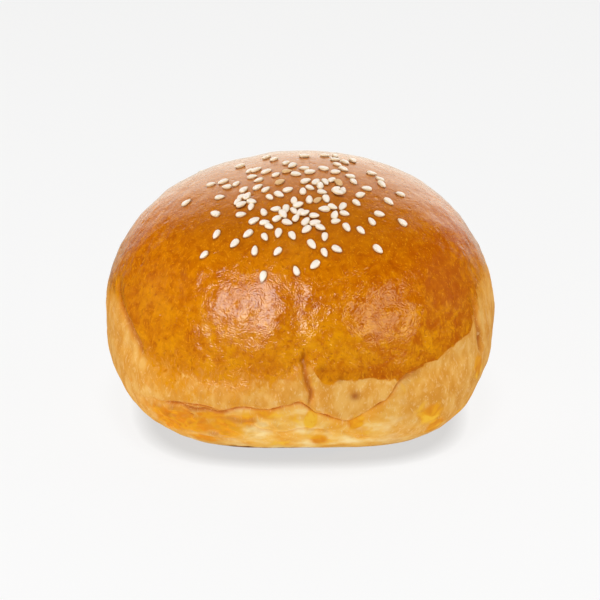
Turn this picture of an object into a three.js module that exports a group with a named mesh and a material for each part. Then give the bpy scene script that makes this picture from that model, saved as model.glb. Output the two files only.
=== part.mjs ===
// A round sesame roll: one baked, domed body with a flat base, and hulled sesame seeds on its crown.
// Millimetres, +Z up. The origin is the middle of the flat base, and the front of the roll faces -Y.
import * as THREE from "three";
import { mergeVertices } from "three/addons/utils/BufferGeometryUtils.js";

// Body of the roll. A fullness of 2 is a plain ellipse, and more is boxier.
const roll = {
  width: 100,
  depth: 87,
  height: 66,
  bellyHeight: 25.8, // height of the widest part
  crownOut: 2.08, // fullness of the dome above the belly, outwards
  crownUp: 2.23, // and upwards
  shoulderOut: 3.14, // fullness below the belly, outwards
  shoulderDown: 2.35, // and downwards
  underCut: 2.8, // how far the round underside would pass the flat base
  planFullness: 2.15, // outline from above, at the belly and higher
  frontBaseFullness: 3.25, // outline from above at the base, in front
  backBaseFullness: 2.5, // and behind, where it stays rounder
  sideBlend: 0.5, // share of the depth, each way from the middle, over which the two meet
  facesPerEdge: 22, // grid of each of the six patches that wrap the body
};

// Gentle unevenness of the risen dough.
const swell = { across: 0.3, upDown: 0.2, waveX: 8, waveY: 9, waveZ: 6 };

// The crown rose a little more from its middle to its right side.
const crownRise = { height: 0.75, startX: -14, fullX: -5, startZ: 42, fullZ: 56 };

// The crease along the front, as x and height. The crust bulges over it and the dough below is tucked in.
const foldLine = [
  [-40, 15.5],
  [-25, 18],
  [-13.5, 19],
  [1, 20.7],
  [12, 15.1],
  [21, 19.7],
  [27.5, 25.8],
  [31, 28],
];
const fold = { bulge: 0.5, bulgeHeight: 5, tuck: 1.3, tuckHeight: 6, fade: 5 };

// The short upright cleft where the two lobes of crust meet at the front.
const cleft = { x: 0.5, bottom: 22, top: 35, width: 2.2, depth: 1, fade: 3.5 };

// One hulled sesame seed lies flat, pointed at one end.
const seed = {
  length: 2.8,
  width: 1.78,
  thickness: 0.95,
  widest: 0.6, // place of the greatest width, as a share of the length from the point
  roundness: 0.44, // bluntness of the round end
  gap: 0.3, // clearance to the crust
  sides: 8,
  rings: 6,
  sizeChange: 0.08,
};

// Where seeds lie, seen from above: x, y and the heading of the pointed end in degrees from +X.
const seedPlaces = [
  // lowest on the front
  [-9, -35, 250], [-1, -34.5, 120], [3.5, -33.5, 215],
  [-11, -30, 85], [-5.5, -31, 220], [3, -29.5, 310], [6, -31, 300], [9, -30, 340],
  [-16, -27.5, 215], [-23.5, -27.5, 195], [19, -28, 340], [15, -24.5, 320],
  [-20.5, -24, 230], [-12.8, -25.9, 210],
  // front of the middle
  [-8.5, -27.5, 300], [-5.3, -26.9, 260], [-1.8, -27.6, 300], [6, -27.5, 265], [1.5, -26, 220],
  [-7.5, -25, 325], [-3.1, -24.2, 340], [11.5, -24.5, 300], [8.8, -23, 20],
  [-11.2, -22.6, 20], [-14.5, -20, 355], [-9, -20.6, 110], [-21, -17.5, 140], [-12.2, -18.1, 260],
  // right shoulder
  [25, -18.5, 150], [19.5, -18.5, 5], [17.5, -21.2, 130], [22, -13, 320], [25, -7.5, 185],
  [16.5, -10, 190], [15, -13.2, 40], [14, -16.5, 320], [20.5, -6, 305],
  // left shoulder
  [-28.5, -8, 25], [-20, -11.5, 350], [-19.5, -3.5, 205], [-22.5, -3, 350], [-18.5, -7, 150],
  // around the very top
  [-10.5, -10.5, 30], [-10.5, -7, 185], [1.5, -9.5, 35], [12.5, -5.5, 175], [1, -3, 170],
  [-8.5, -3, 15], [-13, 0, 230], [5.8, -2.8, 160],
  // behind the top
  [18, -1, 15], [20, -3.2, 335], [1.2, 5.8, 5], [9, 7.5, 280], [-6.5, 5, 46],
  [-15.5, 5.5, 200], [-9, 31, 50], [5, 34, 220], [13, 31.5, 110],
];

const crustMaterial = new THREE.MeshStandardMaterial({
  color: 0xc97a1e,
  roughness: 0.42,
  metalness: 0,
});
const seedMaterial = new THREE.MeshStandardMaterial({
  color: 0xf0dcc0,
  roughness: 0.55,
  metalness: 0,
});

const { clamp, degToRad, lerp, smoothstep } = THREE.MathUtils;
const radius = roll.width / 2;
const depthShare = roll.depth / roll.width;

// Height of the crease at x, along straight stretches between its points.
function foldHeight(x) {
  const after = foldLine.findIndex(([pointX]) => pointX >= x);
  if (after === 0) return foldLine[0][1];
  if (after < 0) return foldLine.at(-1)[1];
  const [x0, z0] = foldLine[after - 1];
  const [x1, z1] = foldLine[after];
  return z0 + ((z1 - z0) * (x - x0)) / (x1 - x0);
}

// How far the crust stands out (+) or is tucked in (-) at a point of the front.
function frontRelief(x, z) {
  const above = z - foldHeight(x);
  const shape =
    above >= 0
      ? fold.bulge * Math.exp(-((above / fold.bulgeHeight) ** 2))
      : -fold.tuck * Math.exp(-((above / fold.tuckHeight) ** 2));
  const [leftEnd] = foldLine[0];
  const [rightEnd] = foldLine.at(-1);
  const along =
    smoothstep(x, leftEnd, leftEnd + fold.fade) * (1 - smoothstep(x, rightEnd - fold.fade, rightEnd));
  const upright =
    smoothstep(z, cleft.bottom - cleft.fade, cleft.bottom) *
    (1 - smoothstep(z, cleft.top - cleft.fade, cleft.top));
  const notch = cleft.depth * upright * Math.exp(-(((x - cleft.x) / cleft.width) ** 2));
  return shape * along - notch;
}

// Unevenness of the dough at a point of the body, outwards.
function doughSwell(x, y, z) {
  const waves =
    swell.across * Math.sin(x / swell.waveX + 0.6) * Math.sin(y / swell.waveY + 1.1) +
    swell.upDown * Math.sin(z / swell.waveZ + x / (2 * swell.waveX));
  const crown =
    smoothstep(x, crownRise.startX, crownRise.fullX) * smoothstep(z, crownRise.startZ, crownRise.fullZ);
  return waves + crownRise.height * crown;
}

// Puts one direction from the body's middle onto its surface.
// Out from the axis: cos(rise) to a power. Up or down from the belly: sin(rise) to a power.
// The outline from above is a superellipse that grows squarer towards the base, most of all in front.
function bodyPoint(direction) {
  const rise = Math.asin(clamp(direction.z, -1, 1));
  const around = Math.atan2(direction.y, direction.x);
  const out = Math.max(Math.cos(rise), 0);
  const up = Math.abs(Math.sin(rise));
  const crown = roll.height - roll.bellyHeight;
  const under = roll.bellyHeight + roll.underCut;
  const reach = radius * out ** (2 / (rise >= 0 ? roll.crownOut : roll.shoulderOut));
  const height =
    rise >= 0
      ? roll.bellyHeight + crown * up ** (2 / roll.crownUp)
      : roll.bellyHeight - under * up ** (2 / roll.shoulderDown);
  const low = clamp(1 - height / roll.bellyHeight, 0, 1);
  const frontShare = smoothstep(-direction.y, -roll.sideBlend, roll.sideBlend);
  const baseFullness = lerp(roll.backBaseFullness, roll.frontBaseFullness, frontShare);
  const fullness = lerp(roll.planFullness, baseFullness, low);
  const ax = Math.abs(Math.cos(around));
  const ay = Math.abs(Math.sin(around));
  const outline = reach * (ax ** fullness + ay ** fullness) ** (-1 / fullness);
  const x = outline * Math.cos(around);
  const y = outline * Math.sin(around) * depthShare;
  const lift = doughSwell(x, y, height);
  const relief = y < 0 ? frontRelief(x, height) : 0;
  const point = new THREE.Vector3(x, y, height).addScaledVector(direction, lift);
  const sideways = new THREE.Vector3(direction.x, direction.y, 0);
  point.addScaledVector(sideways, relief);
  point.z = Math.max(point.z, 0);
  return point;
}

// The baked body: a cube's grid blown up to the body's surface, so that it has no poles.
function rollGeometry() {
  const n = roll.facesPerEdge;
  const geometry = new THREE.BoxGeometry(2, 2, 2, n, n, n);
  const position = geometry.attributes.position;
  const corner = new THREE.Vector3();
  for (let i = 0; i < position.count; i++) {
    corner.fromBufferAttribute(position, i);
    corner.set(...corner.toArray().map((value) => Math.tan((value * Math.PI) / 4)));
    const point = bodyPoint(corner.normalize());
    position.setXYZ(i, point.x, point.y, point.z);
  }
  geometry.deleteAttribute("normal");
  geometry.deleteAttribute("uv");
  const closed = mergeVertices(geometry, 1e-4);
  closed.computeVertexNormals();
  return closed;
}

// Height of the crown above a point of the plan, from the body's own superellipses.
function crownHeight(x, y) {
  const n = roll.planFullness;
  const reach = (Math.abs(x) ** n + Math.abs(y / depthShare) ** n) ** (1 / n) / radius;
  const share = (1 - reach ** roll.crownOut) ** (1 / roll.crownUp);
  return roll.bellyHeight + (roll.height - roll.bellyHeight) * share;
}

// The crown's outward normal, from height differences over a short step.
function crownNormal(x, y) {
  const step = 0.5;
  const slopeX = (crownHeight(x + step, y) - crownHeight(x - step, y)) / (2 * step);
  const slopeY = (crownHeight(x, y + step) - crownHeight(x, y - step)) / (2 * step);
  return new THREE.Vector3(-slopeX, -slopeY, 1).normalize();
}

// A teardrop turned about its length and pressed flat. With u from the point (0) to the round end (1),
// its half width is u^sharpness (1 - u)^roundness, scaled to full width at its widest place.
function seedGeometry() {
  const sharpness = (seed.roundness * seed.widest) / (1 - seed.widest);
  const teardrop = (u) => u ** sharpness * (1 - u) ** seed.roundness;
  const profile = [];
  for (let i = 0; i <= seed.rings; i++) {
    const u = (1 - Math.cos((Math.PI * i) / seed.rings)) / 2;
    const isEnd = i === 0 || i === seed.rings;
    const across = isEnd ? 0 : ((seed.width / 2) * teardrop(u)) / teardrop(seed.widest);
    profile.push(new THREE.Vector2(across, seed.length * (u - 0.5)));
  }
  const geometry = new THREE.LatheGeometry(profile, seed.sides);
  geometry.rotateZ(Math.PI / 2);
  geometry.scale(1, 1, seed.thickness / seed.width);
  return geometry;
}

// Lays a seed on the crown, its flat side down and its point towards the heading.
function layOnCrown(mesh, x, y, headingDegrees) {
  const heading = degToRad(headingDegrees);
  const normal = crownNormal(x, y);
  const side = new THREE.Vector3(-Math.sin(heading), Math.cos(heading), 0).cross(normal).normalize();
  const across = new THREE.Vector3().crossVectors(normal, side);
  mesh.quaternion.setFromRotationMatrix(new THREE.Matrix4().makeBasis(side, across, normal));
  const z = crownHeight(x, y);
  const stand = doughSwell(x, y, z) + seed.gap + seed.thickness / 2;
  mesh.position.set(x, y, z).addScaledVector(normal, stand);
}

const breadRoll = new THREE.Group();

const body = new THREE.Mesh(rollGeometry(), crustMaterial);
body.name = "bread_roll";
breadRoll.add(body);

const oneSeed = seedGeometry();
seedPlaces.forEach(([x, y, heading], index) => {
  const mesh = new THREE.Mesh(oneSeed, seedMaterial.clone());
  mesh.name = "sesame_seed_" + String(index + 1).padStart(2, "0");
  mesh.scale.setScalar(1 + seed.sizeChange * Math.sin(2.4 * (index + 1)));
  layOnCrown(mesh, x, y, heading);
  breadRoll.add(mesh);
});

export default breadRoll;
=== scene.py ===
import math

import bpy
import numpy as np
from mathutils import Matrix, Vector
from mathutils.bvhtree import BVHTree


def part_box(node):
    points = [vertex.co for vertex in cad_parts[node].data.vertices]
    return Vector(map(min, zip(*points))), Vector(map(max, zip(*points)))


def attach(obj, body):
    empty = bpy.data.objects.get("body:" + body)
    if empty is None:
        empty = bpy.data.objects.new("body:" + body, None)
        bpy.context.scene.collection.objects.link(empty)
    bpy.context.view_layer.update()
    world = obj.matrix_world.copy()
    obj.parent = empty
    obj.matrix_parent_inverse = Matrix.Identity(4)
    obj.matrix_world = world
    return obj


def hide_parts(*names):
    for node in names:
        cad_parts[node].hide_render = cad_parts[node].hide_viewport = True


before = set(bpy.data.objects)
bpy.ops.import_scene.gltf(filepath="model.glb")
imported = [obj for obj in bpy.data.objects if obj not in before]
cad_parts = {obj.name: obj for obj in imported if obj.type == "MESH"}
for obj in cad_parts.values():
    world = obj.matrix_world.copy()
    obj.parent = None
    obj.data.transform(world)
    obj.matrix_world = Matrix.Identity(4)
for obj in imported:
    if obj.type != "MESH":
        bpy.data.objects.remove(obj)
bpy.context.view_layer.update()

mm = 0.001


def colour(code):
    # "#rrggbb" to the linear red, green, blue and alpha that sockets take
    parts = [int(code[i:i + 2], 16) / 255 for i in (1, 3, 5)]
    linear = [p / 12.92 if p <= 0.04045 else ((p + 0.055) / 1.055) ** 2.4 for p in parts]
    return (*linear, 1.0)


def smooth(value, start, end):
    # 0 before start, 1 after end, 3t^2 - 2t^3 between
    t = np.clip((value - start) / (end - start), 0, 1)
    return t * t * (3 - 2 * t)


def within(value, start, full, fade, end):
    # 0 before start, 1 from full to fade, 0 after end, smooth between
    return smooth(value, start, full) * (1 - smooth(value, fade, end))


def hump(value, width):
    # bell of height 1: e to the power -(value / width)^2
    return np.exp(-(value / width) ** 2)


def alongLine(points, at):
    # smooth line through the points: a cubic between neighbours, its slopes from the points on both sides
    x, y = np.array(points, float).T
    slope = np.gradient(y, x)
    k = np.clip(np.searchsorted(x, at) - 1, 0, len(x) - 2)
    step = x[k + 1] - x[k]
    t = np.clip((at - x[k]) / step, 0, 1)
    start = (1 + 2 * t) * (1 - t) ** 2 * y[k] + t * (1 - t) ** 2 * step * slope[k]
    end = t * t * (3 - 2 * t) * y[k + 1] + t * t * (t - 1) * step * slope[k + 1]
    return start + end


def unevenness(points, wavelength, seed, waves=26):
    # sum of sine waves in seeded directions, all near one wavelength, mostly between -1 and 1
    random = np.random.default_rng(seed)
    heading = random.normal(size=(waves, 3))
    heading /= np.linalg.norm(heading, axis=1, keepdims=True)
    heading *= random.uniform(0.7, 1.4, (waves, 1)) * 2 * np.pi / wavelength
    phase = random.uniform(0, 2 * np.pi, waves)
    return np.sin(points @ heading.T + phase).sum(axis=1) / math.sqrt(waves)


def ripple(points, layers, seed):
    # sum of layers of unevenness, each with its wavelength and its height
    return sum(height * unevenness(points, length, seed + k) for k, (length, height) in enumerate(layers))


def putMesh(name, points, faces, values=None):
    # points in metres and faces of four corners into a smooth mesh object, with an attribute for each value
    mesh = bpy.data.meshes.new(name)
    mesh.vertices.add(len(points))
    mesh.vertices.foreach_set("co", np.ascontiguousarray(points, np.float32).ravel())
    mesh.loops.add(faces.size)
    mesh.loops.foreach_set("vertex_index", np.ascontiguousarray(faces, np.int32).ravel())
    mesh.polygons.add(len(faces))
    mesh.polygons.foreach_set("loop_start", np.arange(0, faces.size, 4, dtype=np.int32))
    mesh.polygons.foreach_set("use_smooth", np.ones(len(faces), bool))
    mesh.update(calc_edges=True)
    mesh.validate()
    for key, value in (values or {}).items():
        attribute = mesh.attributes.new(key, "FLOAT", "POINT")
        attribute.data.foreach_set("value", np.ascontiguousarray(value, np.float32))
    made = bpy.data.objects.new(name, mesh)
    bpy.context.scene.collection.objects.link(made)
    return made


def meshPoints(mesh):
    # places of all the points of a mesh, one row each
    points = np.empty(len(mesh.vertices) * 3, np.float32)
    mesh.vertices.foreach_get("co", points)
    return points.reshape(-1, 3)


# the crust is one closed surface over the whole roll
# heights and lengths in mm, turns in degrees round the roll: 0 is the front, + is to its right

roll = {
    "size": (100, 87, 66),  # before it swells
    "belly": 25.8,  # height of the widest part
    "crownOut": 2.08,  # fullness of the dome outwards and upwards (2 is an ellipse, more is boxier)
    "crownUp": 2.23,
    "shoulderOut": 3.14,  # fullness below the belly, outwards and downwards
    "shoulderDown": 2.35,
    "underCut": 2.8,  # how far the round underside would pass the flat base
    "planFullness": 2.15,  # outline from above
    "frontBase": 3.25,  # outline of the base, in front and behind
    "backBase": 2.5,
    "grid": 127,  # faces along each edge of the six patches
    "lean": (0, -0.22, 0.12),  # draws the grid closer together on the front and crown
    "wave": (8, 9, 6),  # swell of the risen dough: lengths across, back and up, starts, then heights
    "waveStart": (0.6, 1.1),
    "swell": (0.3, 0.2),
    "crownRise": 0.75,  # the crown rose a little more to the right of its middle
    "crownRightOf": (-14, -5),
    "crownAbove": (42, 56),
    "mmPerDegree": 0.76,  # how far a degree of turn reaches along the side
}

lip = {  # edge of the crust that hangs over the pale dough in front: turn and height
    "line": [(-56, 15), (-47, 16.1), (-38, 18), (-31, 18.1), (-25, 17.7), (-19, 19.1), (-12, 18.7),
             (-5, 19.7), (0, 20.8), (2.4, 19.6), (5, 18), (9, 17.2), (12, 16.1), (16.3, 15), (20, 16.6),
             (23.5, 18.7), (27, 19.9), (29, 21.4), (31, 23.6), (36, 25.8), (42, 27.4)],
    # how much of the lip there is: turn and share
    "show": [(-56, 0), (-47, 0.3), (-38, 0.6), (-27, 0.8), (-20, 1), (-12, 1), (26, 1), (31, 0.85),
             (36, 0.5), (42, 0)],
    "bulge": 0.75,  # how far the crust stands out above the edge
    "bulgeHeight": 4.2,
    "tuck": 1.3,  # how far the dough below is tucked in
    "tuckHeight": 6.5,
    "edge": 0.3,  # half width of the step
    "waver": 0.6,
    "drop": 1.0,  # how far the lip sags over the step
    "dropShare": 0.7,  # how much of that sag the line already has
    "dropAbove": 0.5,
    "dropHeight": 1.2,
    "groove": 1.25,  # undercut just below the lip
    "grooveWidth": 0.95,
    "shadeBelow": 0.55,  # painted shade under the lip: its place, and its half width above and below it
    "shadeWidth": (0.96, 1.36),
}

dough = {  # how the surface is uneven: wavelength and height in mm
    "waver": [(5, 0.35), (2.2, 0.12)],  # wandering of creases and edges, each of which takes a share
    "bumps": [(9, 0.13), (3.2, 0.05)],
    "bareBumps": [(5, 0.12)],  # more of it below the lip
    "folds": [(4, 0.4)],  # wrinkled dough at the lower left
    "foldTurns": (-58, -44, -20, -8),  # where the folds start, are full, fade and end
    "foldHeights": (6, 9, 14, 17.5),
    "valley": 0.55,  # shallow valley above the cleft
    "valleyWidth": 4.5,
    "valleyHeights": (27, 32, 38, 50),
    "flatBelow": (0.5, 4),  # the base stays flat
    "creamTurns": (-34, -16, 22, 40),  # palest dough, under the lip
    "creamBase": (4, 12),
}

creaseShape = {
    "waver": 0.5,
    "fade": 2.5,  # how far in from its ends a crease reaches its depth, and the share it starts with
    "start": 0.15,
    "floor": 0.6,  # half widths of its floor, of the ridge beside it and of its shade, in widths of its own
    "ridge": 1.2,
    "shade": 0.75,
}

# creases pressed into the sides: turn and height along each, then depth, width, rise of its upper or left
# side, and how dark the painted shade in it is
creases = [
    ([(2, 35), (0.6, 31.5), (1.8, 28.3), (2.9, 26), (3.5, 24), (3.6, 22), (2.6, 20)],
     1.15, 1.1, -0.3, 0.85),
    ([(-77, 40.5), (-71, 37.2), (-66, 34.6), (-61, 32.2), (-56.5, 29.6), (-52.5, 26.2)],
     0.65, 2.3, 0.2, 0.85),
    ([(64, 40), (65, 36), (64.7, 31), (66, 27), (66.4, 22)], 0.5, 1.2, 0.2, 0.75),
    ([(-46, 16), (-41, 17.2), (-34, 16.7), (-27, 16.4), (-22, 17)], 0.8, 0.9, 0.4, 0.9),
    ([(-39, 15.8), (-36, 14.8), (-33, 14.6)], 0.7, 0.8, 0.4, 0.8),
    ([(-31, 14.6), (-26, 14.9), (-20, 15.6)], 0.5, 0.8, 0.3, 0.4),
    ([(-27, 13.6), (-24, 11.4), (-20, 9.6)], 0.45, 0.8, 0.25, 0.35),
    ([(-18, 14.4), (-15, 12), (-10, 11.2), (-7, 11)], 0.5, 0.8, 0.3, 0.35),
    ([(-10, 11.3), (-6, 10.8), (-2, 11.9), (2, 12.4), (6, 12), (9.3, 11.2), (12.6, 9.5)],
     0.6, 0.8, 0.3, 0.4),
    ([(-12, 14.4), (-9, 12.2), (-9, 10.2)], 0.4, 0.7, 0.2, 0.3),
    ([(14, 11.5), (19, 9.2), (26, 8.2)], 0.35, 0.8, 0.2, 0.15),
    ([(-35, 8.2), (-27, 7.4), (-20, 7.8)], 0.4, 0.8, 0.2, 0.3),
]

glazeLine = {  # where the egg glaze ends: turn, height and the width of its fade
    "line": [(-180, 27), (-155, 29), (-130, 27.5), (-112, 30), (-100, 33), (-90, 34.5), (-80, 35.5),
             (-74, 36.5), (-66, 34.8), (-60, 32), (-53.5, 28.2), (-48, 25), (-42, 23.8), (-30, 24.2),
             (-16, 25), (-6, 26.5), (0, 28.2), (4, 30.3), (7, 26.4), (13, 26.9), (21, 26.5), (32, 25.6),
             (38, 26.3), (44, 27.8), (53.5, 30.1), (60, 31.4), (63, 33.6), (66, 36.5), (74, 39.5),
             (84, 40.5), (96, 38), (110, 33), (130, 29), (155, 27), (180, 27)],
    "fade": [(-180, 3), (-100, 4.5), (-78, 4), (-66, 1.5), (-60, 0.8), (-53, 2.5), (-46, 10), (-20, 9),
             (-5, 5), (3, 1.2), (5, 0.7), (12, 0.5), (50, 0.5), (60, 0.6), (68, 4.5), (90, 6), (180, 3)],
    "waver": 1.4,
}

# pools of glaze that ran below the edge: turn, height, half width across and up, strength
pools = [
    (-43, 11.8, 5.4, 3.6, 1.4), (-36, 12, 4, 3, 1.2), (-25, 12, 4, 3.4, 1.2), (-29, 15, 4, 1.6, 0.9),
    (-40, 15.2, 4, 1.4, 0.6), (-17, 14.5, 3.4, 2.4, 0.8), (-12, 16.6, 3, 1.4, 0.8),
    (-35, 6.6, 3.4, 2, 0.75), (-20, 6, 3, 2, 0.6), (-27, 8.6, 3, 1.6, 0.6), (3.8, 15.4, 1.6, 2.6, 1.2),
    (7, 7.9, 3, 2.2, 1.1), (-2, 15.5, 2.2, 2, 0.5), (18.8, 13.8, 2.2, 2.6, 1.3),
    (21, 11.5, 3, 1.8, 0.6), (-6, 6.5, 3, 1.6, 0.55), (43, 13.9, 3, 3, 1.1), (47, 8.6, 2.6, 2.6, 1.4),
    (55, 6.2, 2.6, 1.8, 1.1), (57, 9.2, 2.6, 2, 0.6), (34.5, 23.2, 2, 1.2, 0.45),
    (64, 20.7, 2.2, 2.6, 1.5), (-95, 12, 5, 3, 0.7), (-128, 9, 6, 3, 0.8), (-165, 13, 5, 4, 0.6),
    (168, 8, 5, 3, 0.7), (132, 12, 5, 3, 0.7), (100, 8, 4, 3, 0.6), (-72, 8, 4, 2.4, 0.6),
    (80, 14, 3, 3, 0.5),
]

scorch = {  # the base is scorched up to a line: turn and height, and the edge below and above it
    "line": [(-180, 1.6), (-100, 1.0), (-60, 0.4), (-42, 0.6), (-34, 2.4), (-5, 2.6), (10, 2.2),
             (20, 1.0), (60, 0.5), (100, 1.0), (180, 1.6)],
    "edge": (-0.5, 0.4),
    "waver": 1.2,
}

# browner blisters and scorched spots: turn, height, half width across and up, strength
blisters = [
    (17.6, 22.1, 1.1, 1.1, 1.1), (7.2, 29.9, 1, 1, 0.8), (13, 27.1, 0.9, 0.9, 0.8),
    (20.5, 27.4, 1, 0.8, 0.7), (65.6, 28, 0.7, 1.6, 0.9), (-46.9, 50.9, 1.2, 1, 0.5),
    (-45.4, 48.8, 1.4, 1.2, 0.5), (-53, 47, 1.2, 1, 0.4), (110, 40, 1.5, 1.2, 0.5),
    (-140, 38, 1.6, 1.2, 0.5), (160, 45, 1.3, 1.2, 0.5),
]


def wrapGrid(n):
    # six n by n grids that wrap a cube; they share the whole-number places on their edges, so that
    # every seam is closed
    i, j = np.meshgrid(np.arange(n + 1), np.arange(n + 1), indexing="ij")
    sides = []
    for axis in range(3):
        for end in (0, n):
            side = np.insert(np.stack([i, j], -1), axis, end, axis=-1)
            facesIn = (end == 0) != (axis == 1)
            sides.append(side.transpose(1, 0, 2) if facesIn else side)
    places = np.array(sides)
    keys = places @ np.array([1, n + 1, (n + 1) ** 2])
    first, inverse = np.unique(keys, return_index=True, return_inverse=True)[1:]
    inverse = inverse.reshape(keys.shape)
    corners = [inverse[:, :-1, :-1], inverse[:, 1:, :-1], inverse[:, 1:, 1:], inverse[:, :-1, 1:]]
    return places.reshape(-1, 3)[first] / n * 2 - 1, np.stack(corners, -1).reshape(-1, 4)


def bodyPoints(cube):
    # direction: tangent of each cube place, leaned forwards, made length 1
    # out from the axis: cosine of the rise to a power; up or down from the belly: its sine to a power
    # the plan is a superellipse that grows squarer towards the base, most of all in front
    # it swells in crossed sine waves, and last the whole is fitted to the box of the frame's roll
    low, high = (np.array(corner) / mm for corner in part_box("bread_roll"))
    width, depth, height = roll["size"]
    direction = np.tan(cube * np.pi / 4)
    direction /= np.linalg.norm(direction, axis=1, keepdims=True)
    direction += roll["lean"]
    direction /= np.linalg.norm(direction, axis=1, keepdims=True)
    tilt = np.arcsin(np.clip(direction[:, 2], -1, 1))
    around = np.arctan2(direction[:, 1], direction[:, 0])
    out, up, over = np.maximum(np.cos(tilt), 0), np.abs(np.sin(tilt)), tilt >= 0
    belly = roll["belly"]
    reach = width / 2 * out ** (2 / np.where(over, roll["crownOut"], roll["shoulderOut"]))
    z = np.where(over, belly + (height - belly) * up ** (2 / roll["crownUp"]),
                 belly - (belly + roll["underCut"]) * up ** (2 / roll["shoulderDown"]))
    base = np.clip(1 - z / belly, 0, 1)
    towardsFront = smooth(-direction[:, 1], -0.5, 0.5)
    baseFullness = roll["backBase"] + (roll["frontBase"] - roll["backBase"]) * towardsFront
    fullness = roll["planFullness"] + (baseFullness - roll["planFullness"]) * base
    corners = np.abs(np.cos(around)) ** fullness + np.abs(np.sin(around)) ** fullness
    outline = reach * corners ** (-1 / fullness)
    points = np.stack([outline * np.cos(around), outline * np.sin(around) * depth / width, z], -1)
    waveX, waveY, waveZ = roll["wave"]
    startX, startY = roll["waveStart"]
    broadSwell, sideSwell = roll["swell"]
    lift = broadSwell * np.sin(points[:, 0] / waveX + startX) * np.sin(points[:, 1] / waveY + startY)
    lift += sideSwell * np.sin(z / waveZ + points[:, 0] / (2 * waveX))
    lift += roll["crownRise"] * smooth(points[:, 0], *roll["crownRightOf"]) * smooth(z, *roll["crownAbove"])
    points += direction * lift[:, None]
    points[:, 2] = np.maximum(points[:, 2], 0)
    return (points - points.min(axis=0)) * (high - low) / np.ptp(points, axis=0) + low


def lineDistance(across, up, points):
    # shortest distance to straight stretches, its sign (+ is above, or left of an upright line), and how
    # far in from the line's ends the nearest place is
    nearest = np.full(across.shape, 1e9)
    side, inside = np.zeros(across.shape), np.zeros(across.shape)
    corners = np.array(points, float) * (roll["mmPerDegree"], 1)
    lengths = np.linalg.norm(np.diff(corners, axis=0), axis=1)
    total, passed = lengths.sum(), 0
    for start, end, length in zip(corners[:-1], corners[1:], lengths):
        alongX, alongY = (end - start) / length
        dx, dy = across - start[0], up - start[1]
        share = np.clip(dx * alongX + dy * alongY, 0, length)
        gap = np.hypot(dx - share * alongX, dy - share * alongY)
        closer = gap < nearest
        nearest[closer] = gap[closer]
        side[closer] = np.sign(alongX * dy - alongY * dx)[closer]
        inside[closer] = np.minimum(passed + share, total - passed - share)[closer]
        passed += length
    return nearest, side, inside


def spotMask(spots, turn, z):
    # at every point the strongest of several bells, each with its own half width across and up
    strongest = np.zeros_like(z)
    for middle, height, wide, tall, strength in spots:
        gap = (np.mod(turn - middle + 180, 360) - 180) * roll["mmPerDegree"]
        strongest = np.maximum(strongest, strength * hump(np.hypot(gap / wide, (z - height) / tall), 1))
    return strongest


def crustRelief(points):
    # outward and downward push of every point, in mm, and the masks that the crust material reads
    # the lip is a smooth step: a bell out above it, a wider bell in below it, and a narrow groove under it
    # a crease is a bell inwards along its line, with a ridge on one side of it
    x, y, z = points.T
    turn = np.degrees(np.arctan2(x, -y))
    across = turn * roll["mmPerDegree"]
    unrolled = np.stack([across, np.zeros_like(z), z], -1)
    squashed = unrolled * (1, 1, 2)
    wander = ripple(unrolled, dough["waver"], 11)
    side = smooth(z, *dough["flatBelow"])

    above = z - alongLine(lip["line"], turn) - lip["drop"] * lip["dropShare"] + wander * lip["waver"]
    show = np.interp(turn, *np.array(lip["show"]).T)
    over = smooth(above, -lip["edge"], lip["edge"])
    out = over * lip["bulge"] * hump(above, lip["bulgeHeight"])
    out -= (1 - over) * lip["tuck"] * hump(above, lip["tuckHeight"])
    out -= lip["groove"] * hump(above + lip["edge"], lip["grooveWidth"])
    out *= show * side
    down = lip["drop"] * hump(above - lip["dropAbove"], lip["dropHeight"]) * show
    # painted shade along the underside of the lip
    shadeGap = above + lip["shadeBelow"]
    shade = show * hump(shadeGap, np.where(shadeGap > 0, *lip["shadeWidth"]))

    shift, start = wander * creaseShape["waver"], creaseShape["start"]
    for line, depth, width, ridge, dark in creases:
        gap, sign, inside = lineDistance(across + shift, z + shift, line)
        ends = smooth(inside, 0, creaseShape["fade"]) * (1 - start) + start * (inside > 0)
        furrow = ridge * sign * hump(gap - width, width * creaseShape["ridge"])
        furrow -= depth * hump(gap, width * creaseShape["floor"])
        out += ends * side * furrow
        # painted shade along the crease
        shade = np.maximum(shade, dark * ends * hump(gap, width * creaseShape["shade"]))

    folded = within(turn, *dough["foldTurns"]) * within(z, *dough["foldHeights"])
    bareFront = (1 - over) * smooth(show, 0, 0.5)
    out += folded * ripple(squashed, dough["folds"], 21)
    out += side * bareFront * ripple(unrolled, dough["bareBumps"], 22)
    out += side * ripple(points, dough["bumps"], 23)
    out -= dough["valley"] * hump(turn, dough["valleyWidth"]) * within(z, *dough["valleyHeights"])

    fade = np.interp(turn, *np.array(glazeLine["fade"]).T)
    glaze = (z - alongLine(glazeLine["line"], turn) + wander * glazeLine["waver"]) / fade
    cream = (1 - over) * within(turn, *dough["creamTurns"])
    cream = np.maximum(cream, 0.5 * (1 - smooth(z, *dough["creamBase"])))
    scorched = smooth(alongLine(scorch["line"], turn) + wander * scorch["waver"] - z, *scorch["edge"])
    masks = {"glaze": np.clip(glaze, -4, 4), "crease": shade, "pool": spotMask(pools, turn, z),
             "blister": spotMask(blisters, turn, z), "cream": cream, "scorched": scorched}
    return out, down, masks


def makeCrust():
    # the body's points, pushed straight out from the axis and down by the relief
    cube, faces = wrapGrid(roll["grid"])
    points = bodyPoints(cube)
    out, down, masks = crustRelief(points)
    flatLength = np.maximum(np.hypot(points[:, 0], points[:, 1]), 1)
    points[:, :2] += points[:, :2] / flatLength[:, None] * out[:, None]
    points[:, 2] = np.maximum(points[:, 2] - down, 0)
    return putMesh("crust", points * mm, faces, masks)


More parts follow.
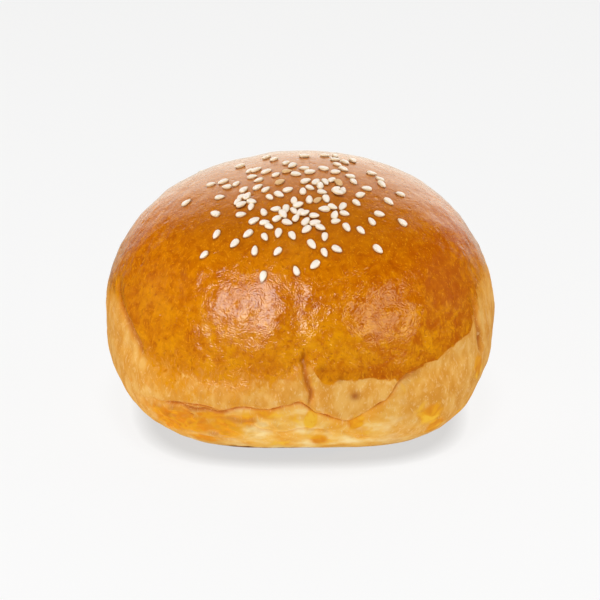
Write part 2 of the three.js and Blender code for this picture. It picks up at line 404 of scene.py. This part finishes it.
def newMaterial(name, **settings):
    # material with one Principled shader; settings go straight onto its sockets
    material = bpy.data.materials.new(name)
    material.use_nodes = True
    shader = material.node_tree.nodes["Principled BSDF"]
    for key, value in settings.items():
        shader.inputs[key.replace("_", " ")].default_value = value
    return material, material.node_tree, shader


def addNode(tree, kind, sockets, **settings):
    # a node with its settings, and each socket given a value or a link
    node = tree.nodes.new("ShaderNode" + kind)
    for key, value in settings.items():
        setattr(node, key, value)
    for key, value in sockets.items():
        if isinstance(value, bpy.types.NodeSocket):
            tree.links.new(value, node.inputs[key])
        else:
            node.inputs[key].default_value = value
    return node


def grain(tree, place, scale, detail=3, roughness=0.5, distortion=0):
    # cloudy noise, between 0 and 1 and mostly near 0.5
    sockets = {"Vector": place, "Scale": scale, "Detail": detail, "Roughness": roughness,
               "Distortion": distortion}
    return addNode(tree, "TexNoise", sockets).outputs["Fac"]


def stretch(tree, place, scale, turn=(0, 0, 0)):
    # the place turned and scaled, so that a pattern on it grows longer where the scale is under 1
    return addNode(tree, "Mapping", {"Vector": place, "Scale": scale, "Rotation": turn}).outputs["Vector"]


def curl(tree, place, scale, reach):
    # the place pushed about by a colour noise, so that whatever is worked out from it runs in curls
    push = addNode(tree, "TexNoise", {"Vector": place, "Scale": scale, "Detail": 1}).outputs["Color"]
    centred = addNode(tree, "VectorMath", {0: push, 1: (0.5, 0.5, 0.5)}, operation="SUBTRACT")
    sockets = {0: centred.outputs["Vector"], 1: (reach, reach, reach), 2: place}
    return addNode(tree, "VectorMath", sockets, operation="MULTIPLY_ADD").outputs["Vector"]


def rise(tree, value, low, high, top=1.0):
    # 0 at low, top at high, smooth between
    sockets = {"Value": value, "From Min": low, "From Max": high, "To Max": top}
    return addNode(tree, "MapRange", sockets, interpolation_type="SMOOTHSTEP").outputs["Result"]


def riseBetween(tree, value, places, top=1.0):
    # the same between two places in mm
    low, high = places
    return rise(tree, value, low * mm, high * mm, top)


def spread(tree, share, ends):
    # straight from the first end, where the share is 0, to the second, where it is 1
    sockets = {"Value": share, "To Min": ends[0], "To Max": ends[1]}
    return addNode(tree, "MapRange", sockets).outputs["Result"]


def calc(tree, way, first, second=0.0):
    # one step of arithmetic on two values or links
    return addNode(tree, "Math", {0: first, 1: second}, operation=way).outputs[0]


def blend(tree, share, first, second):
    # the first colour where the share is 0, the second where it is 1
    return addNode(tree, "Mix", {0: share, 6: first, 7: second}, data_type="RGBA").outputs[2]


def tones(tree, value, stops):
    # colour ramp: pairs of place and "#rrggbb"
    node = addNode(tree, "ValToRGB", {"Fac": value})
    ramp = node.color_ramp
    while len(ramp.elements) < len(stops):
        ramp.elements.new(0.5)
    for element, (place, code) in zip(ramp.elements, stops):
        element.position = place
        element.color = colour(code)
    return node.outputs["Color"]


def mask(tree, name):
    # a value that the mesh holds at each of its points
    return addNode(tree, "Attribute", {}, attribute_name=name).outputs["Fac"]


def addBump(tree, shader, height, depth, strength):
    # bump of a depth in mm under the skin and, where there is one, its clear coat
    bump = addNode(tree, "Bump", {"Strength": strength, "Distance": depth * mm, "Height": height})
    tree.links.new(bump.outputs["Normal"], shader.inputs["Normal"])
    if shader.inputs["Coat Weight"].is_linked:
        tree.links.new(bump.outputs["Normal"], shader.inputs["Coat Normal"])


crustLook = {
    "glaze": [(0.36, "#b25600"), (0.45, "#c66800"), (0.55, "#d67a00"), (0.66, "#e28800")],
    "glazeDeep": "#bc5800",
    "glazeLow": [(0.37, "#c86c00"), (0.46, "#d88000"), (0.55, "#e49200"), (0.65, "#eea000")],
    "speck": "#ae4c00",
    "gold": [(0.36, "#d88004"), (0.5, "#e4930e"), (0.64, "#eca224")],
    # painted glints on the glaze
    "glazeGlint": "#f2a21a",
    "crown": "#bb6b0e",
    "bare": [(0.36, "#df942a"), (0.5, "#e7a13c"), (0.64, "#efb458")],
    "strand": "#f8cc86",
    "cream": [(0.36, "#f0a632"), (0.5, "#f8c05a"), (0.64, "#ffde98")],
    "fleck": "#f8d08a",
    "pool": [(0.38, "#e68c00"), (0.5, "#f2a606"), (0.62, "#fac030")],
    "poolLeft": "#ea8e00",
    # painted shade in creases and under the lip, and a painted glow of light through the dough beside it
    "crease": "#c26400",
    "creaseGlow": "#e08e1c",
    "blister": "#a85004",
    "scorched": [(0.38, "#7a3e04"), (0.5, "#a05c10"), (0.62, "#c88024")],
    # painted shade round each seed
    "seedShadeRing": "#9a5212",
    "roughness": (0.55, 0.11),  # of the bare crust and of the glaze
    "roughnessMottle": 0.08,
    "coat": 0.6,  # share of clear coat where the glaze is full
    "bump": (0.25, 1.0),  # its strength on the bare crust and on the glaze
    "bumpDepth": 0.15,  # in mm
}

crustPlaces = {  # between which places a tone grows from none to full, in mm
    "glazeLow": (49, 34),  # heights
    "crown": (50, 64),
    "rightStart": (0, 34),  # to the right
    "rightEnd": (49, 40),
    "poolLeft": (-6, -26),
}

grains = {  # how fine each pattern of the crust is: repeats in a metre
    "curl": 260,
    "mottle": 420,
    "broad": 75,
    "strand": 1000,
    "speck": 620,
    "bare": 360,
    "drip": 230,
    "dough": 130,
    "fleck": 2100,
    "wrinkle": 1050,
    "dimple": 330,
    "pit": 240,
    "curlReach": 3,  # how far the curls push the other patterns about, in mm
}


def crustMaterial():
    # bare crust and glaze are worked out apart and parted by the glaze mask with a ragged edge
    # painted shade in creases and under the lip with a painted glow beside it, blisters, flecks (painted
    # glints on the glaze), painted shade round each seed and the scorched base line go on top
    material, tree, shader = newMaterial("crust", Specular_IOR_Level=0.2, Coat_Roughness=0.12, Coat_IOR=1.4)
    place = addNode(tree, "TexCoord", {}).outputs["Object"]
    sides = addNode(tree, "SeparateXYZ", {0: place}).outputs
    x, z = sides["X"], sides["Z"]
    curled = curl(tree, place, grains["curl"], grains["curlReach"] * mm)
    mottle = grain(tree, curled, grains["mottle"], 4, 0.65)
    broad = grain(tree, place, grains["broad"], 2)
    strands = grain(tree, stretch(tree, curled, (1, 1, 0.45)), grains["strand"], 3, 0.6)

    # glaze: mottled, brighter and yellower low down (partly its own tone, partly painted light from the
    # floor below), deeper on the right, brown on the crown, with darker specks
    patches = calc(tree, "ADD", calc(tree, "MULTIPLY", mottle, 0.65), calc(tree, "MULTIPLY", broad, 0.35))
    glazeTone = tones(tree, patches, crustLook["glaze"])
    lowTone = tones(tree, patches, crustLook["glazeLow"])
    # lighter glaze low down: partly its own tone, partly painted light from the floor below
    glazeTone = blend(tree, riseBetween(tree, z, crustPlaces["glazeLow"], 0.85), glazeTone, lowTone)
    rightStart = riseBetween(tree, x, crustPlaces["rightStart"])
    rightEnd = riseBetween(tree, x, crustPlaces["rightEnd"])
    rightSide = calc(tree, "MULTIPLY", rightStart, rightEnd)
    deepShare = calc(tree, "MULTIPLY", rightSide, rise(tree, patches, 0.72, 0.38, 0.85))
    glazeTone = blend(tree, deepShare, glazeTone, colour(crustLook["glazeDeep"]))
    speckShare = rise(tree, grain(tree, place, grains["speck"], 2, 0.5, 0.4), 0.58, 0.7, 0.5)
    glazeTone = blend(tree, speckShare, glazeTone, colour(crustLook["speck"]))
    crownShare = riseBetween(tree, z, crustPlaces["crown"], 0.75)
    glazeTone = blend(tree, crownShare, glazeTone, colour(crustLook["crown"]))

    # bare crust: upright streaks, pale strands, creamy dough under the lip, and pools where glaze ran down
    streaks = grain(tree, stretch(tree, place, (1, 1, 0.55)), grains["bare"], 4)
    bareTone = tones(tree, streaks, crustLook["bare"])
    bareTone = blend(tree, rise(tree, strands, 0.52, 0.7, 0.45), bareTone, colour(crustLook["strand"]))
    dapples = grain(tree, stretch(tree, place, (1, 1, 2)), grains["dough"], 4)
    bareTone = blend(tree, mask(tree, "cream"), bareTone, tones(tree, dapples, crustLook["cream"]))
    drip = grain(tree, curled, grains["drip"], 2, 0.5, 0.5)
    poolReach = calc(tree, "ADD", mask(tree, "pool"), calc(tree, "MULTIPLY", drip, 1.5))
    poolShare = rise(tree, poolReach, 0.9, 1.45)
    leftSide = riseBetween(tree, x, crustPlaces["poolLeft"])
    spotted = calc(tree, "MULTIPLY", leftSide, rise(tree, drip, 0.46, 0.6))
    poolTone = blend(tree, spotted, tones(tree, drip, crustLook["pool"]), colour(crustLook["poolLeft"]))
    bareTone = blend(tree, poolShare, bareTone, poolTone)

    # the edge of the glaze wanders by 2.2 times what both noises pass their middles by
    noises = calc(tree, "SUBTRACT", calc(tree, "ADD", strands, mottle), 1.0)
    ragged = calc(tree, "MULTIPLY", noises, 2.2)
    glazeShare = rise(tree, calc(tree, "ADD", mask(tree, "glaze"), ragged), -0.8, 0.8)
    skin = blend(tree, rise(tree, glazeShare, 0.0, 0.6), bareTone, tones(tree, strands, crustLook["gold"]))
    skin = blend(tree, rise(tree, glazeShare, 0.35, 1.0), skin, glazeTone)

    # painted shade in creases and under the lip, with a painted glow of light through the dough round it
    crease = mask(tree, "crease")
    skin = blend(tree, rise(tree, crease, 0.0, 0.6, 0.55), skin, colour(crustLook["creaseGlow"]))
    skin = blend(tree, rise(tree, crease, 0.3, 1.0, 0.9), skin, colour(crustLook["crease"]))
    blisterShare = calc(tree, "MULTIPLY", mask(tree, "blister"), 0.8)
    skin = blend(tree, blisterShare, skin, colour(crustLook["blister"]))
    slanted = stretch(tree, curled, (1, 1, 0.35), (0, math.radians(35), 0))
    # flecks on the bare crust are its own pale bits; on the glaze they are painted glints
    fleckAndGlintShare = rise(tree, grain(tree, slanted, grains["fleck"], 1), 0.61, 0.7, 0.5)
    glazed = calc(tree, "MAXIMUM", glazeShare, poolShare)
    fleckAndGlintTone = blend(tree, glazed, colour(crustLook["fleck"]), colour(crustLook["glazeGlint"]))
    skin = blend(tree, fleckAndGlintShare, skin, fleckAndGlintTone)
    # painted shade in a ring round each seed
    seedShadeShare = calc(tree, "MULTIPLY", mask(tree, "seedShadeRing"), 0.75)
    skin = blend(tree, seedShadeShare, skin, colour(crustLook["seedShadeRing"]))
    skin = blend(tree, mask(tree, "scorched"), skin, tones(tree, mottle, crustLook["scorched"]))
    tree.links.new(skin, shader.inputs["Base Color"])

    roughness = spread(tree, glazeShare, crustLook["roughness"])
    roughness = calc(tree, "ADD", roughness, calc(tree, "MULTIPLY", mottle, crustLook["roughnessMottle"]))
    tree.links.new(roughness, shader.inputs["Roughness"])
    tree.links.new(calc(tree, "MULTIPLY", glazeShare, crustLook["coat"]), shader.inputs["Coat Weight"])

    # fine wrinkles are where a noise passes its middle; below them lie soft dimples and a few pits
    wrinkle = grain(tree, stretch(tree, curled, (1, 1, 1.3)), grains["wrinkle"], 1)
    wrinkle = calc(tree, "ABSOLUTE", calc(tree, "SUBTRACT", wrinkle, 0.5))
    dimple = grain(tree, place, grains["dimple"], 2)
    pit = addNode(tree, "TexVoronoi", {"Vector": place, "Scale": grains["pit"]}).outputs["Distance"]
    height = calc(tree, "MULTIPLY", dimple, 0.8)
    height = calc(tree, "SUBTRACT", height, calc(tree, "MULTIPLY", wrinkle, 1.3))
    height = calc(tree, "SUBTRACT", height, rise(tree, pit, 0.2, 0.05, 0.7))
    addBump(tree, shader, height, crustLook["bumpDepth"], spread(tree, glazeShare, crustLook["bump"]))
    return material


sesame = {
    "length": 2.8,
    "width": 1.78,
    "thickness": 0.85,
    "widest": 0.6,  # place of the greatest width, as a share of the length from the point
    "roundness": 0.44,  # bluntness of the round end
    "flatness": 0.5,  # 1 is an oval section, less has flatter faces
    "sizeChange": 0.08,
    "sides": 10,
    "rings": 8,
    "sunk": 0.16,  # how deep the underside sits in the glaze
    "ring": (1.0, 1.45),  # painted shade in a ring round it on the crust: full and faded, as shares of the seed's outline
    "body": [(0.3, "#fff4ea"), (0.9, "#fff0de"), (1.0, "#f6dcb2")],  # from the face to the rim
    "toastedBody": "#e2b270",
    # painted shade on the underside of each seed
    "underside": "#d8a060",
    "toast": 0.85,  # how far a browner one is toasted
    "grain": 1400,  # repeats in a metre
    "bump": 0.3,
    "bumpDepth": 0.05,
}

# seeds beyond those of the frame, seen from above: x, y, heading of the pointed end in degrees, and how far
# each is lifted onto its neighbours
moreSeeds = [
    (-14.5, -13.5, 40, 0), (-13, -14.5, 64, 0.6), (-15.5, -15.5, 230, 0.2), (-14.5, -17, 25, 0.4),
    (-12, -16.3, 330, 0), (-16, -6.5, 58, 0), (-14, -10.5, 54, 0), (-8.5, -12.5, 42, 0),
    (-12, -4.2, 350, 0), (-11, -0.3, 23, 0), (-6, -6, 42, 0), (-5, -10, 39, 0), (-8.5, 8.5, 42, 0),
    (-3.5, 1, 55, 0), (-2, -1.2, 234, 0), (-3.3, -4.5, 10, 0), (-1, -6.3, 340, 0), (-3, -13.5, 29, 0),
    (-7.5, -16, 302, 0), (-5.2, -15.3, 317, 0), (-1.5, -17.5, 90, 0), (-6, -20.5, 180, 0),
    (-3.5, -20.5, 265, 0), (-1.5, -21, 298, 0), (-0.5, -19.5, 31, 0.6), (0, -21.5, 242, 0),
    (1.2, -21.8, 35, 0.4), (-4.2, -22.3, 298, 0.3), (-1, -23.4, 66, 0.3), (-5.6, -23.3, 36, 0),
    (1.4, -24, 61, 0), (3.5, -22.5, 0, 0.5), (3.7, -24.2, 22, 0), (5, -25.6, 330, 0.4), (-8.7, -24, 0, 0),
    (6, -20, 180, 0), (8, -19.5, 333, 0.5), (10.5, -18.5, 246, 0), (8.5, -21.5, 80, 0.2),
    (11, -20.5, 344, 0), (9, -12.5, 53, 0), (10.7, -12.5, 84, 0), (9.5, -14.2, 345, 0.5), (4, -10, 64, 0),
    (2.5, -12.5, 324, 0), (5, -11.8, 90, 0.3), (6.3, -9.8, 295, 0), (8, -8.5, 51, 0), (9.7, -9.6, 295, 0),
    (5.5, -14, 345, 0), (0.7, -14, 90, 0), (2.3, -17, 90, 0), (4.4, -17, 48, 0), (6.5, -16.5, 286, 0),
    (9, 4, 5, 0), (11.5, 3, 316, 0), (13.5, 5.5, 288, 0), (9.5, 0.5, 327, 0), (11, -2, 327, 0),
    (9, -4.3, 25, 0), (13.5, -7.9, 303, 0), (2.5, -5.2, 16, 0), (6.4, 7.2, 0, 0), (-17, 29, 20, 0),
    (-2.5, 35.5, 160, 0), (18, 29.5, 300, 0), (24.5, 24, 130, 0), (-26, 23.5, 80, 0), (0.5, 30.5, 70, 0),
    (-13, 34.5, 130, 0), (9, 36.5, 15, 0), (-6.5, 38.5, 85, 0), (1.5, 39, 200, 0), (-21, 31.5, 350, 0),
    (22.5, 30, 240, 0), (-5, 32, 275, 0), (14.5, 36, 160, 0), (-12, 31.5, 210, 0), (27, 27.5, 60, 0),
    (-23.5, 26.5, 150, 0),
]

toasted = [(-5, -10), (-3.3, -4.5), (4.4, -17), (9.7, -9.6)]  # places of the browner ones


def seedMesh(name, centre, along, up, scale, toast):
    # with u from the point (0) to the round end (1), the half width is u^sharpness (1 - u)^roundness,
    # scaled to full width at the widest place; rings of it are closed onto a point at each end
    # the section is an oval whose rise goes to a power under 1, which flattens both faces
    across = np.cross(up, along)
    rings, sides = sesame["rings"], sesame["sides"]
    u = (1 - np.cos(np.pi * np.arange(1, rings) / rings)) / 2
    widest, roundness = sesame["widest"], sesame["roundness"]
    sharpness = roundness * widest / (1 - widest)
    half = (u / widest) ** sharpness * ((1 - u) / (1 - widest)) ** roundness
    angle = np.arange(sides) * 2 * np.pi / sides
    section = np.sign(np.sin(angle)) * np.abs(np.sin(angle)) ** sesame["flatness"]
    length = np.repeat((0.5 - u)[:, None], sides, 1) * sesame["length"]
    wide = half[:, None] * np.cos(angle) * sesame["width"] / 2
    tall = half[:, None] * section * sesame["thickness"] / 2
    local = np.stack([length, wide, tall], -1).reshape(-1, 3)
    ends = np.array([[0.5, 0, 0], [-0.5, 0, 0]]) * sesame["length"]
    local = np.concatenate([local, ends]) * scale * mm
    points = centre + local[:, :1] * along + local[:, 1:2] * across + local[:, 2:] * up
    k, s = np.meshgrid(np.arange(rings - 2), np.arange(sides), indexing="ij")
    nextSide = (s + 1) % sides
    near, far = k * sides, (k + 1) * sides
    quads = np.stack([near + s, near + nextSide, far + nextSide, far + s], -1)
    fan = np.arange(sides)
    nextFan = (fan + 1) % sides
    tip, end, last = (rings - 1) * sides, (rings - 1) * sides + 1, (rings - 2) * sides
    tipFaces = np.stack([np.full(sides, tip), nextFan, fan], -1)
    endFaces = np.stack([np.full(sides, end), last + fan, last + nextFan], -1)
    faces = quads.reshape(-1, 4).tolist() + tipFaces.tolist() + endFaces.tolist()
    mesh = bpy.data.meshes.new(name)
    mesh.from_pydata(points.tolist(), [], faces)
    mesh.polygons.foreach_set("use_smooth", np.ones(len(faces), bool))
    edge = np.maximum(np.abs(np.cos(angle)), ((2 * u - 1) ** 2)[:, None])
    rim = np.append(edge.ravel(), [1, 1])
    # the underside of each seed, darkened there as painted shade
    low = np.append(np.tile(np.maximum(-np.sin(angle), 0), rings - 1), [0, 0])
    for key, value in {"rim": rim, "low": low, "toast": np.full(len(points), toast)}.items():
        mesh.attributes.new(key, "FLOAT", "POINT").data.foreach_set("value", value.astype(np.float32))
    made = bpy.data.objects.new(name, mesh)
    bpy.context.scene.collection.objects.link(made)
    return made


def framePose(node):
    # middle and long axis of a seed of the frame, the axis towards its pointed end, where it is narrower
    points = meshPoints(node.data).astype(float)
    middle = (points.max(axis=0) + points.min(axis=0)) / 2
    offset = points - points.mean(axis=0)
    axes = np.linalg.svd(offset, full_matrices=False)[2]
    along = offset @ axes[0]
    sideways = np.abs(offset @ axes[1])
    pointed = axes[0] if sideways[along > 0].mean() < sideways[along < 0].mean() else -axes[0]
    return middle, pointed


def seedMaterial():
    # cream faces, darker at the rim, with painted shade underneath, and a little bump
    material, tree, shader = newMaterial("sesame", Roughness=0.4, Specular_IOR_Level=0.35)
    place = addNode(tree, "TexCoord", {}).outputs["Object"]
    noise = grain(tree, place, sesame["grain"], 2)
    rim = calc(tree, "ADD", mask(tree, "rim"), calc(tree, "MULTIPLY", noise, 0.3))
    body = blend(tree, mask(tree, "toast"), tones(tree, rim, sesame["body"]), colour(sesame["toastedBody"]))
    body = blend(tree, rise(tree, mask(tree, "low"), 0.5, 0.95, 0.7), body, colour(sesame["underside"]))
    tree.links.new(body, shader.inputs["Base Color"])
    addBump(tree, shader, noise, sesame["bumpDepth"], sesame["bump"])
    return material


def placeSeeds(surface):
    # name, spot and normal on the crust, direction of the pointed end, lift and toast of every seed:
    # those of the frame on the nearest place of the crust, then the others straight below their x and y
    nodes = sorted(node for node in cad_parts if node.startswith("sesame_seed"))
    placed = []
    for node in nodes:
        middle, pointed = framePose(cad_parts[node])
        spot, normal = surface.find_nearest(Vector(middle))[:2]
        placed.append((node, spot, normal, pointed, 0, 0))
    for number, (x, y, heading, lift) in enumerate(moreSeeds, len(nodes) + 1):
        spot, normal = surface.ray_cast(Vector((x * mm, y * mm, 1)), Vector((0, 0, -1)))[:2]
        pointed = (math.cos(math.radians(heading)), math.sin(math.radians(heading)), 0)
        toast = sesame["toast"] if (x, y) in toasted else 0
        placed.append(("sesame_seed_%03d" % number, spot, normal, pointed, lift, toast))
    return placed


def makeSeeds(crust):
    # each seed lies along the crust, on its spot; the crust keeps how near its points are to a seed, for
    # the painted shade round it
    mesh = crust.data
    points = meshPoints(mesh)
    corners = np.empty(len(mesh.loops), np.int32)
    mesh.loops.foreach_get("vertex_index", corners)
    surface = BVHTree.FromPolygons(points.tolist(), corners.reshape(-1, 4).tolist())
    material = seedMaterial()
    seeds, paintedSeedShade = [], np.zeros(len(points))
    for number, (name, spot, normal, pointed, lift, toast) in enumerate(placeSeeds(surface), 1):
        spot, normal, pointed = np.array(spot), np.array(normal), np.array(pointed)
        along = pointed - normal * (pointed @ normal)
        along /= np.linalg.norm(along)
        scale = 1 + sesame["sizeChange"] * math.sin(2.4 * number)
        centre = spot + normal * (sesame["thickness"] / 2 * scale - sesame["sunk"] + lift) * mm
        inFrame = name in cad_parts
        seed = seedMesh(name + "_look" if inFrame else name, centre, along, normal, scale, toast)
        seed.data.materials.append(material)
        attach(seed, "root")
        if inFrame:
            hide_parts(name)
        seeds.append(seed)

        # painted shade on the crust in a ring round the seed
        offset = points - spot
        lengthwise = offset @ along / (sesame["length"] / 2 * mm)
        sideways = offset @ np.cross(normal, along) / (sesame["width"] / 2 * mm)
        ring = 1 - smooth(np.hypot(lengthwise, sideways), *sesame["ring"])
        paintedSeedShade = np.maximum(paintedSeedShade, ring * (np.abs(offset @ normal) < 2 * mm))
    attribute = mesh.attributes.new("seedShadeRing", "FLOAT", "POINT")
    attribute.data.foreach_set("value", paintedSeedShade.astype(np.float32))
    return seeds


white = (1, 1, 1)

studio = {
    "middle": 30,  # height that the lamps and the camera are placed about, in mm
    "cameraRise": 24,  # degrees above the floor
    "cameraDistance": 700,
    "cameraAim": 28.95,
    "lens": 161.9,
    # turn and rise in degrees, distance and side in mm, brightness, colour
    "sheenLamps": [(-25.5, 25, 1100, 680, 9.2, (0.8, 1, 1)),  # these two are only mirrored in the glaze
                   (40, 16, 1100, 620, 4.9, (0.95, 0.96, 0.58))],
    "shapeLamps": [(-5, 82, 1500, 430, 29.5, white), (-24, 4, 1500, 900, 6.4, white),  # these only light it
                   (-95, 10, 1500, 900, 3, white), (95, 10, 1500, 900, 5.2, white)],
    "floorSide": 40000,
    "floorGrey": 0.06,
    "floorGlow": (0.83, 0.9),  # behind and in front, and where each is reached
    "floorGlowAt": (400, -120),
    "shadeReach": 6.5,  # how far off the roll the painted shadow dims the floor
    "shadeOpen": (0.4, 0.97),  # share of open sky where the floor is darkest, and where it is clear
    "shadeLeft": 0.72,  # how bright the darkest of it stays
    "glowTowards": (0.02, 0.95, 0.28),  # way to the pale wall behind the roll, mirrored on its crown
    "glowFrom": 0.66,  # cosine off that way at which its glow starts
    "glow": 1.65,
    "glowColour": (1, 0.96, 0.84),
    "dim": 0.02,  # the rest of the room
}


def fromFront(turn, height, distance):
    # place at a turn from the front (+ to the right) and a rise above the floor, seen from the roll
    turn, height = math.radians(turn), math.radians(height)
    flat = math.cos(height)
    return Vector((math.sin(turn) * flat, -math.cos(turn) * flat, math.sin(height))) * distance * mm


def aimAt(item, target):
    # turned so that it looks at the target
    item.rotation_euler = (target - item.location).to_track_quat("-Z", "Y").to_euler()


def makeLamp(lamp, mirrored):
    # round soft lamp that is either mirrored or lights, and is as bright as its size makes it
    turn, height, distance, side, brightness, tint = lamp
    light = bpy.data.lights.new("lamp", "AREA")
    light.shape = "DISK"
    light.size = side * mm
    light.energy = brightness * (math.pi * side * mm / 2) ** 2
    light.color = tint
    item = bpy.data.objects.new("lamp", light)
    middle = Vector((0, 0, studio["middle"] * mm))
    item.location = middle + fromFront(turn, height, distance)
    item.visible_camera = False
    item.visible_glossy = mirrored
    item.visible_diffuse = not mirrored
    aimAt(item, middle)
    bpy.context.scene.collection.objects.link(item)


def makeRoom():
    # dim room with a pale wall behind the roll, brighter the closer a direction is to it
    world = bpy.data.worlds.new("studio")
    bpy.context.scene.world = world
    world.use_nodes = True
    tree = world.node_tree
    direction = addNode(tree, "TexCoord", {}).outputs["Generated"]
    sockets = {0: direction, 1: studio["glowTowards"]}
    towards = addNode(tree, "VectorMath", sockets, operation="DOT_PRODUCT").outputs["Value"]
    sockets = {"Value": towards, "From Min": studio["glowFrom"], "To Min": studio["dim"],
               "To Max": studio["glow"]}
    strength = addNode(tree, "MapRange", sockets, interpolation_type="SMOOTHSTEP").outputs["Result"]
    tree.links.new(strength, tree.nodes["Background"].inputs["Strength"])
    tree.nodes["Background"].inputs["Color"].default_value = (*studio["glowColour"], 1)


def makeFloor():
    # pale floor that glows evenly, a little less far behind, and is dimmed close under the roll by a
    # painted shadow
    side = studio["floorSide"] * mm / 2
    corners = np.array([(-side, -side, 0), (side, -side, 0), (side, side, 0), (-side, side, 0)])
    floor = putMesh("floor", corners, np.array([[0, 1, 2, 3]]))
    material, tree, shader = newMaterial("floor", Roughness=0.9, Specular_IOR_Level=0.1)
    place = addNode(tree, "TexCoord", {}).outputs["Object"]
    y = addNode(tree, "SeparateXYZ", {0: place}).outputs["Y"]
    (far, near), (farPlace, nearPlace) = studio["floorGlow"], studio["floorGlowAt"]
    sockets = {"Value": y, "From Min": farPlace * mm, "From Max": nearPlace * mm, "To Min": far,
               "To Max": near}
    glow = addNode(tree, "MapRange", sockets).outputs["Result"]
    reach = studio["shadeReach"] * mm
    # painted shadow: the floor's glow is dimmed where the roll hides nearby sky
    openSky = addNode(tree, "AmbientOcclusion", {"Distance": reach}, samples=32).outputs["AO"]
    darkest, clear = studio["shadeOpen"]
    sockets = {"Value": openSky, "From Min": darkest, "From Max": clear, "To Min": studio["shadeLeft"]}
    shade = addNode(tree, "MapRange", sockets).outputs["Result"]
    tree.links.new(calc(tree, "MULTIPLY", glow, shade), shader.inputs["Emission Strength"])
    shader.inputs["Base Color"].default_value = (*[studio["floorGrey"]] * 3, 1)
    shader.inputs["Emission Color"].default_value = (*white, 1)
    floor.data.materials.append(material)
    floor.visible_glossy = False


def makeCamera():
    # long lens in front of the roll, looking down at it
    lens = bpy.data.cameras.new("camera")
    lens.lens = studio["lens"]
    lens.sensor_width = 36
    camera = bpy.data.objects.new("camera", lens)
    middle = Vector((0, 0, studio["middle"] * mm))
    camera.location = middle + fromFront(0, studio["cameraRise"], studio["cameraDistance"])
    aimAt(camera, Vector((0, 0, studio["cameraAim"] * mm)))
    bpy.context.scene.collection.objects.link(camera)
    bpy.context.scene.camera = camera
    bpy.context.scene.view_settings.view_transform = "Standard"


crust = makeCrust()
print("crust:", len(crust.data.polygons), "faces")
seeds = makeSeeds(crust)
crust.data.materials.append(crustMaterial())
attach(crust, "root")
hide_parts("bread_roll")
print("seeds:", len(seeds))
for lamp in studio["sheenLamps"]:
    makeLamp(lamp, mirrored=True)
for lamp in studio["shapeLamps"]:
    makeLamp(lamp, mirrored=False)
makeRoom()
makeFloor()
makeCamera()
print("studio: floor, lamps and camera")
